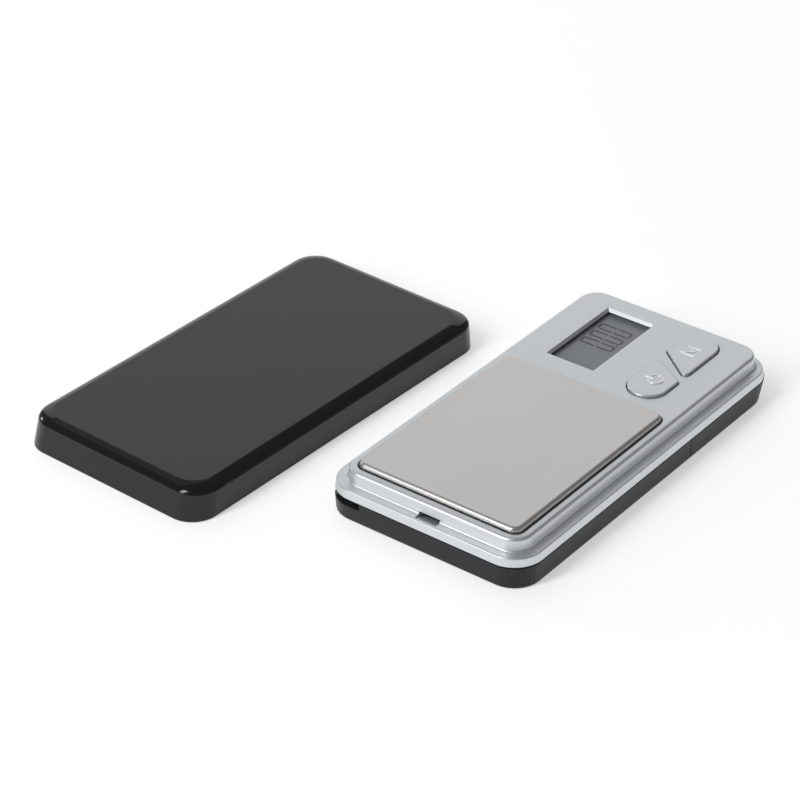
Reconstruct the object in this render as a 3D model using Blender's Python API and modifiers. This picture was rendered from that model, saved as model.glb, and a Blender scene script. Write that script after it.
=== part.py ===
"""Digital pocket gram scale with its separate press-on cover, metres, +Z up.

The scale stands on its flat base with the origin on the table under the middle of the body. +X is the
short side, +Y runs towards the display end. The cover lies upright on the same table, beside the scale.
"""

import math

import bmesh
import bpy
from mathutils import Matrix, Vector

MM = 0.001

# Body outline, driving dimensions
BODY_WIDTH = 47.0 * MM
BODY_LENGTH = 89.2 * MM
BODY_CORNER = 6.4 * MM
PARTING_Z = 4.8 * MM
LEDGE_Z = 6.7 * MM
PLATEAU_Z = 9.4 * MM
WALL = 1.2 * MM
ROOF = 1.1 * MM
FLOOR = 1.0 * MM

# Draft and edges of the two housing halves
BASE_FOOT_INSET = 0.22 * MM
BASE_FOOT_EDGE = 0.35 * MM
BASE_CORNER_INSET = 0.5 * MM
BASE_REAR_SLOPE = 1.3 * MM
LEDGE_INSET = 0.25 * MM
SEAM_HALF = 0.12 * MM
LEDGE_WIDTH = 2.3 * MM
PLATEAU_FRONT_GAP = 2.4 * MM
PLATEAU_REAR_GAP = 1.5 * MM
PLATEAU_CORNER = 4.4 * MM
PLATEAU_EDGE = 0.65 * MM
POST_ROOT = 0.3 * MM

# Weighing platform and its recess
RECESS_HALF = 19.3 * MM
RECESS_FRONT = -40.3 * MM
RECESS_REAR = 10.3 * MM
RECESS_CORNER = 2.4 * MM
RECESS_FLOOR_TOP = 7.9 * MM
TRAY_GAP = 0.35 * MM
TRAY_TOP = 10.4 * MM
TRAY_BOTTOM = 8.75 * MM
TRAY_SHEET = 0.6 * MM
TRAY_EDGE = 0.9 * MM
CARRIER_EDGE = 0.4 * MM
TAPE_LEVELS = (0.1 * MM, 0.25 * MM)
TAPE_INSET = 4.0 * MM
TAPE_FRONT_INSET = 14.0 * MM
PLATFORM_TRAVEL = 0.25 * MM

# Display and keys
WINDOW_CENTRE = (-7.85 * MM, 27.2 * MM)
WINDOW_SIZE = (11.5 * MM, 22.5 * MM)
PILL_CENTRE = (9.9 * MM, 26.9 * MM)
PILL_SIZE = (8.4 * MM, 26.8 * MM)
POWER_SLANT = 0.61
POWER_INNER = 1.9 * MM
MODE_SLANT = 0.79
MODE_INNER = 0.85 * MM
KEY_CORNER = 0.9 * MM
KEY_PROUD = 0.5 * MM
KEY_GAP = 0.18 * MM
KEY_EDGE = 0.22 * MM
KEY_TRAVEL = 0.35 * MM
KEY_FLANGE = 0.55 * MM
KEY_FLANGE_THICK = 0.6 * MM
KEY_BOSS = 1.4 * MM
GLYPH_RISE = 0.12 * MM
GLYPH_ROOT = 0.2 * MM
GLYPH_OFFSET = 6.7 * MM
POWER_RING = (1.4 * MM, 1.75 * MM)
POWER_BAR = (0.3 * MM, 2.2 * MM)
POWER_LINE = 0.36 * MM
M_HEIGHT = 3.4 * MM
M_WIDTH = 2.8 * MM
M_LINE = 0.42 * MM

# Battery bay
SEAM_Y = 13.1 * MM
CELL_DIAMETER = 20.0 * MM
CELL_HEIGHT = 3.2 * MM
CELL_Y = 28.0 * MM
BAY_PLATE = (1.15 * MM, 2.05 * MM)
BAY_PLATE_CORNER = 5.0 * MM
BAY_PLATE_REAR = 3.2 * MM
BAY_OVERLAP = 3.0 * MM
BAY_STEP = (0.5 * MM, 2.0 * MM)
BAY_STEP_GAP = 0.8 * MM
BAY_SIDE_GAP = 0.6 * MM
DOOR_FLOOR = 0.85 * MM
DOOR_REAR_WALL = 2.4 * MM
RAIL_REACH = 0.9 * MM
RAIL_ROOT = 0.5 * MM
RAIL_LEVELS = (0.15 * MM, 0.75 * MM)
RAIL_ENDS = (1.0 * MM, 9.0 * MM)
CELL_RING_WALL = 0.9 * MM
CELL_SHOULDER = 2.0 * MM
CONTACT_THICK = 0.25 * MM
GRIP_RIBS = 4
GRIP_PITCH = 1.6 * MM
GRIP_START = 4.0 * MM
GRIP_HALF = 5.0 * MM
GRIP_DEPTH = 0.3 * MM

# Press-on cover
COVER_WIDTH = 47.2 * MM
COVER_LENGTH = 88.3 * MM
COVER_HEIGHT = 6.95 * MM
COVER_CORNER = 5.9 * MM
COVER_WALL = 0.8 * MM
COVER_ROOF = 1.3 * MM
COVER_CATCH = (0.1 * MM, 0.4 * MM)
CATCH_REACH = 0.45 * MM
CATCH_ROOT = 0.4 * MM
COVER_SIDE_DRAFT = 0.45 * MM
COVER_FRONT_DRAFT = 1.85 * MM
COVER_REAR_DRAFT = 0.45 * MM
COVER_SHOULDER = 2.2 * MM
COVER_PLACE = (-60.2 * MM, -19.8 * MM)
COVER_YAW = math.radians(-2.1)

# Catch slots between ledge and plateau, one at each end
SLOT_CENTRE_X = 0.55 * MM
SLOT_WIDTH = 4.9 * MM
SLOT_BOTTOM = 6.2 * MM
SLOT_TOP = 7.15 * MM
TROUGH_OVERLAP = 0.05 * MM
FRONT_TROUGH = 1.4 * MM
REAR_TROUGH = 0.9 * MM

# Strap opening round the front left corner of the base
STRAP_OPENING = (3.2 * MM, 4.8 * MM)
STRAP_REACH = 9.0 * MM
STRAP_DEPTH = 2.4 * MM
STRAP_POST = 0.9 * MM
STRAP_POST_INSET = 0.2 * MM
STRAP_BACK = 1.0 * MM
STRAP_CORNER_INSET = 0.6 * MM
STRAP_CORNER_MORE = 0.5 * MM

# Load cell bar, along Y
BAR_WIDTH = 10.0 * MM
BAR_LENGTH = 45.0 * MM
BAR_BOTTOM = 2.1 * MM
BAR_TOP = 6.2 * MM
BAR_CENTRE_Y = (RECESS_FRONT + RECESS_REAR) / 2
BAR_HOLE = 1.4 * MM
BAR_HOLE_PITCH = 8.0 * MM
BAR_HOLE_EDGE = 3.0 * MM
CARRIER_BOSS_LENGTH = 14.0 * MM
BAR_PAD_LENGTH = 16.0 * MM
BAR_PAD_TOP = 1.5 * MM
BAR_PAD_MARGIN = 1.0 * MM
BAR_SEAT = 0.9 * MM
STOP_RADIUS = 2.0 * MM
STOP_FROM_END = 4.0 * MM
FLEXURE_RADIUS = 1.5 * MM
FLEXURE_SPACING = 9.0 * MM
FLEXURE_SLOT = 1.0 * MM
GAUGE_OVERHANG = 2.2 * MM
GAUGE_LEVELS = (0.05 * MM, 0.17 * MM)
GAUGE_WIDTH = 6.0 * MM
SPACER_MARGIN = 2.5 * MM
LEAD_RADIUS = 0.2 * MM
LEAD_RISE = 0.35 * MM

# Electronics stack over the battery
BOARD = (4.8 * MM, 5.6 * MM)
BOARD_SIZE = (41.0 * MM, 27.5 * MM)
BOARD_CENTRE_Y = 28.0 * MM
GLASS_THICK = 1.09 * MM
GLASS_UNDER_ROOF = 0.31 * MM
GLASS_SIZE = (15.0 * MM, 25.0 * MM)
GLASS_RIM = 1.0 * MM
CONNECTOR_WIDTH = 1.8 * MM
SWITCH_OFFSET = 7.0 * MM
SWITCH_SIDE = 4.0 * MM
SWITCH_TOP = 7.0 * MM
SWITCH_WELL = 1.15 * MM
PLUNGER = 0.9 * MM
PLUNGER_DOWN = 0.4 * MM
PLUNGER_UP = 0.3 * MM

# Clearances
GAP = 0.3 * MM
FIT = 0.12 * MM
TOUCH = 0.001 * MM

# Screws
SCREW_SHAFT = 0.8 * MM
SCREW_HEAD = 1.5 * MM
SCREW_HEAD_HEIGHT = 0.7 * MM
SCREW_HOLE = 1.1 * MM
BOSS = 2.2 * MM
BOSS_MEET = 2.6 * MM
FRONT_BOSS = (17.3 * MM, -37.6 * MM)
REAR_BOSS = (18.6 * MM, 38.9 * MM)
SCREW_REACH = 4.2 * MM
PILOT_DEPTH = 3.4 * MM
BOARD_POST = 1.7 * MM
BOARD_PILOT_DEPTH = 1.9 * MM
BOARD_SCREW_REACH = 1.6 * MM
BOARD_SCREW_X = (-17.9 * MM, 18.2 * MM)
BOARD_SCREW_Y = (16.6 * MM, 33.5 * MM)
BOARD_SCREW_SHAFT = 0.6 * MM
BOARD_SCREW_HEAD = 1.3 * MM
BOARD_SCREW_HOLE = 0.85 * MM
BAR_SCREW_SHAFT = 1.1 * MM
BAR_SCREW_HEAD = 2.0 * MM
BAR_SCREW_HEAD_HEIGHT = 0.7 * MM
BAR_SCREW_BEARS = 0.82 * MM
BAR_SCREW_TIP = 4.8 * MM
CARRIER_SCREW_HEAD_HEIGHT = 1.0 * MM
CARRIER_SCREW_SINK = 1.3 * MM
CARRIER_SCREW_REACH = 3.0 * MM
CROSS_ARM = 0.6
CROSS_LINE = 0.13

ARC = 8
SMOOTH_BELOW = math.radians(35)

INNER_ROOF = PLATEAU_Z - ROOF
GLASS = (INNER_ROOF - GLASS_UNDER_ROOF - GLASS_THICK, INNER_ROOF - GLASS_UNDER_ROOF)
LEDGE_UNDER = LEDGE_Z - FLOOR
RECESS_FLOOR_BOTTOM = RECESS_FLOOR_TOP - FLOOR
PLATEAU_FRONT = -BODY_LENGTH / 2 + PLATEAU_FRONT_GAP
PLATEAU_REAR = BODY_LENGTH / 2 - PLATEAU_REAR_GAP
PLATEAU_HALF = BODY_WIDTH / 2 - LEDGE_WIDTH
FAR = 2 * BODY_LENGTH


def clear_scene():
    for obj in list(bpy.data.objects):
        bpy.data.objects.remove(obj, do_unlink=True)


def new_collection(name):
    found = bpy.data.collections.new(name)
    bpy.context.scene.collection.children.link(found)
    return found


def material(name, colour, roughness, metallic=0.0):
    made = bpy.data.materials.new(name)
    made.use_nodes = True
    shader = made.node_tree.nodes["Principled BSDF"]
    shader.inputs["Base Color"].default_value = (*colour, 1.0)
    shader.inputs["Roughness"].default_value = roughness
    shader.inputs["Metallic"].default_value = metallic
    made.diffuse_color = (*colour, 1.0)
    return made


def object_from(bm, name, where=None, smooth=True):
    """Turns a bmesh into an object of the parts collection, or of the one given."""
    bmesh.ops.recalc_face_normals(bm, faces=bm.faces)
    mesh = bpy.data.meshes.new(name)
    bm.to_mesh(mesh)
    bm.free()
    obj = bpy.data.objects.new(name, mesh)
    (where or PARTS).objects.link(obj)
    if smooth:
        mesh.shade_smooth()
        mesh.set_sharp_from_angle(angle=SMOOTH_BELOW)
    return obj


def helper(obj):
    """Marks an object as a cutter, or as a shape joined to another by a Boolean."""
    for owner in list(obj.users_collection):
        owner.objects.unlink(obj)
    CUTTERS.objects.link(obj)
    obj.hide_render = True
    obj.display_type = "WIRE"
    return obj


def boolean(target, other, operation, solver="EXACT"):
    modifier = target.modifiers.new(operation.title() + "_" + other.name, "BOOLEAN")
    modifier.operation = operation
    modifier.object = helper(other)
    modifier.solver = solver


def cut(target, *others):
    for other in others:
        boolean(target, other, "DIFFERENCE")


def join(target, *others, solver="EXACT"):
    """Unites shapes. MANIFOLD is for the thin or nearly flush ones that the exact solver loses."""
    for other in others:
        boolean(target, other, "UNION", solver)


def keep(target, other):
    boolean(target, other, "INTERSECT")


def block(name, x, y, z, corner=0.0, top=None, top_edge=0.0, bottom_edge=0.0, arc=ARC, edge_arc=4):
    """A box between x, y and z limits with round upright corners, optional draft and rounded rims.

    top gives the x and y limits of the upper face where it differs from the lower one.
    """
    bm = bmesh.new()
    bmesh.ops.create_cube(bm, size=1.0)
    centre = Vector(((x[0] + x[1]) / 2, (y[0] + y[1]) / 2, (z[0] + z[1]) / 2))
    size = Vector((x[1] - x[0], y[1] - y[0], z[1] - z[0]))
    bmesh.ops.scale(bm, vec=size, verts=bm.verts)
    bmesh.ops.translate(bm, vec=centre, verts=bm.verts)
    if corner > 0:
        upright = [e for e in bm.edges if abs(e.verts[0].co.z - e.verts[1].co.z) > size.z / 2]
        bmesh.ops.bevel(bm, geom=upright, offset=corner, segments=arc, profile=0.5, affect="EDGES")
    if top:
        upper = [v for v in bm.verts if v.co.z > centre.z]
        (x0, x1), (y0, y1) = top
        for vert in upper:
            vert.co.x = x0 + (vert.co.x - x[0]) / size.x * (x1 - x0)
            vert.co.y = y0 + (vert.co.y - y[0]) / size.y * (y1 - y0)
    for level, width in ((z[1], top_edge), (z[0], bottom_edge)):
        if width > 0:
            rim = [e for e in bm.edges if all(abs(v.co.z - level) < 1e-6 for v in e.verts)]
            bmesh.ops.bevel(bm, geom=rim, offset=width, segments=edge_arc, profile=0.5, affect="EDGES")
    return object_from(bm, name)


def rod(name, radius, z, at=(0.0, 0.0), segments=24, axis="Z"):
    """A cylinder between two levels of its axis."""
    bm = bmesh.new()
    length = z[1] - z[0]
    bmesh.ops.create_cone(
        bm, cap_ends=True, segments=segments, radius1=radius, radius2=radius, depth=length
    )
    if axis == "X":
        bmesh.ops.rotate(bm, cent=(0, 0, 0), matrix=Matrix.Rotation(math.pi / 2, 3, "Y"),
                         verts=bm.verts)
        shift = ((z[0] + z[1]) / 2, at[0], at[1])
    else:
        shift = (at[0], at[1], (z[0] + z[1]) / 2)
    bmesh.ops.translate(bm, vec=shift, verts=bm.verts)
    return object_from(bm, name)


def turned(name, profile, at, mat, steps=28):
    """A profile of (radius, z) points, outer side downwards, turned round an upright axis."""
    bm = bmesh.new()
    points = [bm.verts.new((radius, 0.0, z)) for radius, z in profile]
    for first, second in zip(points, points[1:]):
        bm.edges.new((first, second))
    mesh = bpy.data.meshes.new(name)
    bm.to_mesh(mesh)
    bm.free()
    obj = bpy.data.objects.new(name, mesh)
    PARTS.objects.link(obj)
    obj.location = (at[0], at[1], 0.0)
    screw = obj.modifiers.new("Turn", "SCREW")
    screw.axis = "Z"
    screw.steps = steps
    screw.render_steps = steps
    screw.use_merge_vertices = True
    screw.merge_threshold = 0.00001
    screw.use_smooth_shade = True
    obj.data.materials.append(mat)
    return obj


def wire(name, route, radius, mat):
    """A round wire through the given points, smoothed by a spline and kept as a light polyline."""
    fine = []
    for i in range(len(route) - 1):
        before = Vector(route[max(i - 1, 0)])
        start, end = Vector(route[i]), Vector(route[i + 1])
        after = Vector(route[min(i + 2, len(route) - 1)])
        pieces = max(2, round((end - start).length / (2.2 * MM)))
        for k in range(pieces):
            t = k / pieces
            fine.append(
                0.5
                * (
                    2 * start
                    + (end - before) * t
                    + (2 * before - 5 * start + 4 * end - after) * t**2
                    + (3 * start - before - 3 * end + after) * t**3
                )
            )
    fine.append(Vector(route[-1]))
    curve = bpy.data.curves.new(name, "CURVE")
    curve.dimensions = "3D"
    curve.bevel_depth = radius
    curve.bevel_resolution = 1
    curve.use_fill_caps = True
    spline = curve.splines.new("POLY")
    spline.points.add(len(fine) - 1)
    for point, place in zip(spline.points, fine):
        point.co = (*place, 1.0)
    obj = bpy.data.objects.new(name, curve)
    PARTS.objects.link(obj)
    curve.materials.append(mat)
    return obj


def rounded_polygon(corners, radii, count=6):
    """Points of a polygon, given counter-clockwise, whose corners are rounded by the given radii."""
    points = []
    for i, corner in enumerate(corners):
        here = Vector(corner)
        back = (Vector(corners[i - 1]) - here).normalized()
        ahead = (Vector(corners[(i + 1) % len(corners)]) - here).normalized()
        half_angle = back.angle(ahead) / 2
        centre = here + (back + ahead).normalized() * radii[i] / math.sin(half_angle)
        start = here + back * radii[i] / math.tan(half_angle) - centre
        sweep = math.pi - 2 * half_angle
        steps = max(3, round(count * sweep / (math.pi / 2)))
        for k in range(steps + 1):
            turn = Matrix.Rotation(sweep * k / steps, 2)
            points.append(centre + turn @ start)
    return [(p.x, p.y) for p in points]


def outline_solid(name, points, z, edge=0.0, edge_arc=3):
    """A flat outline of (x, y) points raised between two levels, with its upper rim rounded."""
    bm = bmesh.new()
    face = bm.faces.new([bm.verts.new((px, py, z[0])) for px, py in points])
    raised = bmesh.ops.extrude_face_region(bm, geom=[face])
    upper = [item for item in raised["geom"] if isinstance(item, bmesh.types.BMVert)]
    bmesh.ops.translate(bm, vec=(0, 0, z[1] - z[0]), verts=upper)
    if edge > 0:
        rim = [e for e in bm.edges if all(abs(v.co.z - z[1]) < 1e-6 for v in e.verts)]
        bmesh.ops.bevel(bm, geom=rim, offset=edge, segments=edge_arc, profile=0.5, affect="EDGES")
    return object_from(bm, name)


def key_outline(rear, grow=0.0):
    """One half of the pill that the two keys share: a round outer end and a slanting inner side."""
    slant, inner = (MODE_SLANT, MODE_INNER) if rear else (POWER_SLANT, POWER_INNER)
    half = PILL_SIZE[0] / 2 + grow
    end = PILL_SIZE[1] / 2 + grow
    back_off = inner - grow * math.hypot(1.0, slant)
    corners = [(-half, -end), (half, -end), (half, -slant * half - back_off),
               (-half, slant * half - back_off)]
    round_end = half * 0.999
    radii = [round_end, round_end, KEY_CORNER + grow, KEY_CORNER + grow]
    points = rounded_polygon(corners, radii, count=7)
    side = -1 if rear else 1
    return [(PILL_CENTRE[0] + side * x, PILL_CENTRE[1] + side * y) for x, y in points]


def base_block(name):
    """The outer form of the black base: slightly drafted sides and a rear end that slopes in below."""
    half_w, half_l = BODY_WIDTH / 2, BODY_LENGTH / 2
    foot_w = half_w - BASE_FOOT_INSET
    return block(
        name,
        (-foot_w, foot_w),
        (-half_l + BASE_FOOT_INSET, half_l - BASE_REAR_SLOPE),
        (0.0, PARTING_Z - SEAM_HALF),
        corner=BODY_CORNER - BASE_CORNER_INSET,
        top=((-half_w, half_w), (-half_l, half_l)),
        bottom_edge=BASE_FOOT_EDGE,
        edge_arc=2,
    )


def lower_housing():
    body = base_block("lower_housing")
    front = -BODY_LENGTH / 2
    keep(body, block("front_part", (-FAR, FAR), (2 * front, SEAM_Y - FIT), (-FAR, FAR)))
    cut(body, block("front_hollow", (-BODY_WIDTH / 2 + WALL, BODY_WIDTH / 2 - WALL),
                    (front + WALL, SEAM_Y + BODY_CORNER), (FLOOR, 2 * PARTING_Z),
                    corner=BODY_CORNER - WALL))
    add_battery_bay(body)
    add_strap_opening(body)
    add_load_cell_seat(body)
    for number, (x, y) in enumerate(housing_screw_places(), 1):
        sink = screw_seat(y) + 0.1 * MM
        join(body, rod(f"low_boss_{number}", BOSS, (sink - 0.4 * MM, BOSS_MEET), (x, y)))
        cut(body, rod(f"low_hole_{number}", SCREW_HOLE, (-MM, 3 * MM), (x, y), segments=16))
        cut(body, rod(f"low_head_{number}", SCREW_HEAD + GAP, (-MM, sink), (x, y)))
    for number, y in enumerate(bar_screws(fixed=True), 1):
        cut(body, rod(f"bar_hole_{number}", BAR_HOLE, (-MM, 2 * MM), (0, y), segments=16))
        cut(body, rod(f"bar_head_{number}", BAR_SCREW_HEAD + GAP, (-MM, BAR_SEAT), (0, y)))
    return body


def add_battery_bay(body):
    """The plate behind the seam that holds the board end of the housing, with the ring round the cell."""
    half = BODY_WIDTH / 2 - WALL - BAY_SIDE_GAP
    start = SEAM_Y - BAY_OVERLAP
    join(
        body,
        block("bay_plate", (-half, half), (start, BODY_LENGTH / 2 - BAY_PLATE_REAR), BAY_PLATE,
              corner=BAY_PLATE_CORNER),
        block("bay_step", (-half, half), (start, SEAM_Y - BAY_STEP_GAP), BAY_STEP),
    )
    hole = CELL_DIAMETER / 2 + GAP
    ring_z = (BAY_PLATE[0] + 0.1 * MM, BOARD[0] - FIT - 0.1 * MM)
    join(body, rod("cell_ring", hole + CELL_RING_WALL, ring_z, (0, CELL_Y), segments=48))
    cut(body, rod("cell_pocket", hole, (-MM, 2 * PARTING_Z), (0, CELL_Y), segments=48))


def add_strap_opening(body):
    """Fills the front left corner, then cuts the strap opening round it and sets a post inside."""
    left, front = -BODY_WIDTH / 2, -BODY_LENGTH / 2
    corner_x, corner_y = left + STRAP_CORNER_INSET, front + STRAP_CORNER_INSET
    reach = STRAP_REACH + STRAP_CORNER_MORE
    back = STRAP_DEPTH + STRAP_BACK
    filling = block("strap_corner", (corner_x, corner_x + reach), (corner_y, corner_y + reach),
                    (FLOOR / 2, PARTING_Z - SEAM_HALF - 0.1 * MM),
                    corner=BODY_CORNER - STRAP_CORNER_INSET - 0.1 * MM)
    cut(filling, block("strap_corner_back", (left + back, FAR), (front + back, FAR), (-FAR, FAR),
                       corner=BODY_CORNER - back))
    join(body, filling, solver="MANIFOLD")
    slot = block("strap_slot", (2 * left, left + STRAP_REACH), (2 * front, front + STRAP_REACH),
                 (STRAP_OPENING[0], 2 * PARTING_Z))
    cut(slot, block("strap_wall", (left + STRAP_DEPTH, FAR), (front + STRAP_DEPTH, FAR),
                    (-MM, 3 * PARTING_Z), corner=BODY_CORNER - STRAP_DEPTH))
    cut(body, slot)
    inset = STRAP_DEPTH + STRAP_POST_INSET
    join(body, rod("strap_post", STRAP_POST, (FLOOR, PARTING_Z - SEAM_HALF),
                   (left + inset, front + inset), segments=16))


def add_load_cell_seat(body):
    """The pad under the fixed end of the load cell, and the stop under its loaded end."""
    pad_rear = BAR_CENTRE_Y + BAR_LENGTH / 2 + BAR_PAD_MARGIN
    half = BAR_WIDTH / 2 + BAR_PAD_MARGIN
    join(body, block("bar_pad", (-half, half), (pad_rear - BAR_PAD_LENGTH, pad_rear),
                     (FLOOR / 2, BAR_PAD_TOP)))
    stop_y = BAR_CENTRE_Y - BAR_LENGTH / 2 + STOP_FROM_END
    stop_top = BAR_BOTTOM - PLATFORM_TRAVEL - 0.1 * MM
    join(body, rod("overload_stop", STOP_RADIUS, (FLOOR / 2, stop_top), (0, stop_y), segments=20))


def battery_cover():
    body = base_block("battery_cover")
    rear = BODY_LENGTH / 2
    keep(body, block("rear_part", (-FAR, FAR), (SEAM_Y + FIT, FAR), (-FAR, FAR)))
    half = BODY_WIDTH / 2 - WALL
    cut(body, block("rear_hollow", (-half, half), (SEAM_Y - 2 * BODY_CORNER, rear - DOOR_REAR_WALL),
                    (DOOR_FLOOR, 2 * PARTING_Z), corner=BODY_CORNER - WALL))
    rail_y = (SEAM_Y + RAIL_ENDS[0], rear - RAIL_ENDS[1])
    rail_z = [BAY_PLATE[1] + level for level in RAIL_LEVELS]
    for sign in (-1, 1):
        rail_x = sorted((sign * (half + RAIL_ROOT), sign * (half - RAIL_REACH)))
        join(body, block(f"rail_{sign}", rail_x, rail_y, rail_z))
    for i in range(GRIP_RIBS):
        y = SEAM_Y + GRIP_START + i * GRIP_PITCH
        cut(body, block(f"grip_{i}", (-GRIP_HALF, GRIP_HALF), (y, y + GRIP_PITCH / 2),
                        (-MM, GRIP_DEPTH)))
    return body


def upper_housing():
    half_w, half_l = BODY_WIDTH / 2, BODY_LENGTH / 2
    body = block(
        "upper_housing",
        (-half_w, half_w),
        (-half_l, half_l),
        (PARTING_Z + SEAM_HALF, LEDGE_Z),
        corner=BODY_CORNER,
        top=((-half_w + LEDGE_INSET, half_w - LEDGE_INSET),
             (-half_l + LEDGE_INSET, half_l - LEDGE_INSET)),
        top_edge=0.2 * MM,
        edge_arc=1,
    )
    join(body, block("plateau", (-PLATEAU_HALF, PLATEAU_HALF), (PLATEAU_FRONT, PLATEAU_REAR),
                     (PARTING_Z + SEAM_HALF + 0.2 * MM, PLATEAU_Z), corner=PLATEAU_CORNER,
                     top_edge=PLATEAU_EDGE, edge_arc=3))
    inner_half = PLATEAU_HALF - WALL
    inner_corner = PLATEAU_CORNER - WALL
    boss_y = carrier_boss_y()
    cut(
        body,
        block("skirt_hollow", (-half_w + WALL, half_w - WALL), (-half_l + WALL, half_l - WALL),
              (0, LEDGE_UNDER), corner=BODY_CORNER - WALL),
        block("front_space", (-inner_half, inner_half), (PLATEAU_FRONT + WALL, RECESS_REAR + 2 * WALL),
              (0, RECESS_FLOOR_BOTTOM), corner=inner_corner),
        block("rear_space", (-inner_half, inner_half), (RECESS_REAR + WALL, PLATEAU_REAR - WALL),
              (0, INNER_ROOF), corner=inner_corner),
        block("platform_recess", (-RECESS_HALF, RECESS_HALF), (RECESS_FRONT, RECESS_REAR),
              (RECESS_FLOOR_TOP, FAR), corner=RECESS_CORNER),
        block("display_window", centred(WINDOW_CENTRE[0], WINDOW_SIZE[0]),
              centred(WINDOW_CENTRE[1], WINDOW_SIZE[1]), (PARTING_Z, FAR), corner=0.3 * MM, arc=2),
        outline_solid("power_opening", key_outline(False, KEY_GAP), (PARTING_Z, FAR)),
        outline_solid("mode_opening", key_outline(True, KEY_GAP), (PARTING_Z, FAR)),
        block("carrier_opening", centred(0, BAR_WIDTH + 4 * MM), (boss_y[0] - MM, boss_y[1] + MM),
              (PARTING_Z, FAR), corner=MM, arc=3),
    )
    cut_catch_slot(body, "front", PLATEAU_FRONT, -1, FRONT_TROUGH)
    cut_catch_slot(body, "rear", PLATEAU_REAR, 1, REAR_TROUGH)
    for number, (x, y) in enumerate(housing_screw_places()):
        roof = RECESS_FLOOR_BOTTOM if y < 0 else INNER_ROOF
        foot = BOSS_MEET + GAP
        join(body, rod(f"boss_{number}", BOSS, (foot, roof + POST_ROOT), (x, y), segments=20))
        cut(body, rod(f"pilot_{number}", SCREW_HOLE, (0, foot + PILOT_DEPTH), (x, y), segments=16))
    for number, (x, y) in enumerate(board_screw_places()):
        join(body, rod(f"post_{number}", BOARD_POST, (BOARD[1] + FIT, INNER_ROOF + POST_ROOT), (x, y),
                       segments=18))
        cut(body, rod(f"post_pilot_{number}", BOARD_SCREW_HOLE, (0, BOARD[1] + BOARD_PILOT_DEPTH),
                      (x, y), segments=14))
    return body


def cut_catch_slot(body, end, face, out, reach):
    """A hole through the wall of the raised top at one end, and the trough in the ledge before it."""
    x = centred(SLOT_CENTRE_X, SLOT_WIDTH)
    hole = sorted((face + out * MM, face - out * (WALL + FIT)))
    trough = sorted((face + out * TROUGH_OVERLAP, face + out * reach))
    cut(body, block(f"{end}_slot", x, hole, (SLOT_BOTTOM, SLOT_TOP)))
    cut(body, block(f"{end}_trough", x, trough, (SLOT_BOTTOM, LEDGE_Z + MM)))


def centred(middle, size):
    return (middle - size / 2, middle + size / 2)


def housing_screw_places():
    return [(sign * boss[0], boss[1]) for boss in (FRONT_BOSS, REAR_BOSS) for sign in (-1, 1)]


def board_screw_places():
    (left, right), (near, distant) = BOARD_SCREW_X, BOARD_SCREW_Y
    return [(left, near), (right, near), (left, distant)]


def bar_screws(fixed):
    """Y places of the two screws at the fixed or at the loaded end of the load cell."""
    end = BAR_LENGTH / 2 - BAR_HOLE_EDGE
    sign = 1 if fixed else -1
    return [BAR_CENTRE_Y + sign * end, BAR_CENTRE_Y + sign * (end - BAR_HOLE_PITCH)]


def screw_seat(y):
    """Level under a housing screw's head: in the base floor in front, in the bay plate behind."""
    return SCREW_HEAD_HEIGHT + (0.2 * MM if y < 0 else BAY_PLATE[0] + 0.05 * MM)


def carrier_boss_y():
    outer = BAR_CENTRE_Y - BAR_LENGTH / 2
    return (outer, outer + CARRIER_BOSS_LENGTH)


def spacer_start():
    return bar_screws(fixed=True)[1] - SPACER_MARGIN


def gauge_half_length():
    """As long as the flexure and its overhang, but clear of the spacer."""
    return min(FLEXURE_SPACING / 2 + GAUGE_OVERHANG, spacer_start() - BAR_CENTRE_Y - GAP)


def weighing_platform():
    x_half = RECESS_HALF - TRAY_GAP
    y0, y1 = RECESS_FRONT + TRAY_GAP, RECESS_REAR - TRAY_GAP
    corner = RECESS_CORNER - TRAY_GAP
    sheet = TRAY_SHEET
    tray = block("weighing_tray", (-x_half, x_half), (y0, y1), (TRAY_BOTTOM, TRAY_TOP), corner=corner,
                 top_edge=TRAY_EDGE, edge_arc=4)
    cut(tray, block("tray_inside", (-x_half + sheet, x_half - sheet), (y0 + sheet, y1 - sheet),
                    (0, TRAY_TOP - sheet), corner=corner - sheet, top_edge=CARRIER_EDGE, edge_arc=2))
    inset = sheet + GAP
    plate_top = TRAY_TOP - sheet - TAPE_LEVELS[1] - 0.1 * MM
    carrier = block("tray_carrier", (-x_half + inset, x_half - inset), (y0 + inset, y1 - inset),
                    (RECESS_FLOOR_TOP + PLATFORM_TRAVEL + 0.1 * MM, plate_top), corner=corner - sheet,
                    top_edge=CARRIER_EDGE, edge_arc=2)
    join(carrier, block("carrier_boss", centred(0, BAR_WIDTH), carrier_boss_y(),
                        (BAR_TOP + PLATFORM_TRAVEL + 0.05 * MM, plate_top - 0.3 * MM),
                        corner=0.5 * MM, arc=2))
    tape_half = x_half - TAPE_INSET
    tape = block("tray_tape", (-tape_half, tape_half), (y0 + TAPE_FRONT_INSET, y1 - TAPE_INSET),
                 (plate_top + TAPE_LEVELS[0], plate_top + TAPE_LEVELS[1]), corner=MM, arc=3)
    head = plate_top - CARRIER_SCREW_SINK
    screws = []
    for number, y in enumerate(bar_screws(fixed=False), 1):
        cut(carrier, rod(f"carrier_hole_{number}", BAR_HOLE, (0, 2 * TRAY_TOP), (0, y), segments=16))
        cut(carrier, rod(f"carrier_sink_{number}", BAR_SCREW_HEAD + GAP,
                         (head - 0.1 * MM, 2 * TRAY_TOP), (0, y)))
        screws.append(screw(f"carrier_screw_{number}", (0, y), BAR_SCREW_SHAFT, BAR_SCREW_HEAD, head,
                            CARRIER_SCREW_HEAD_HEIGHT, head - CARRIER_SCREW_REACH, down=True))
    return [tray, carrier, tape, *screws]


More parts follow.
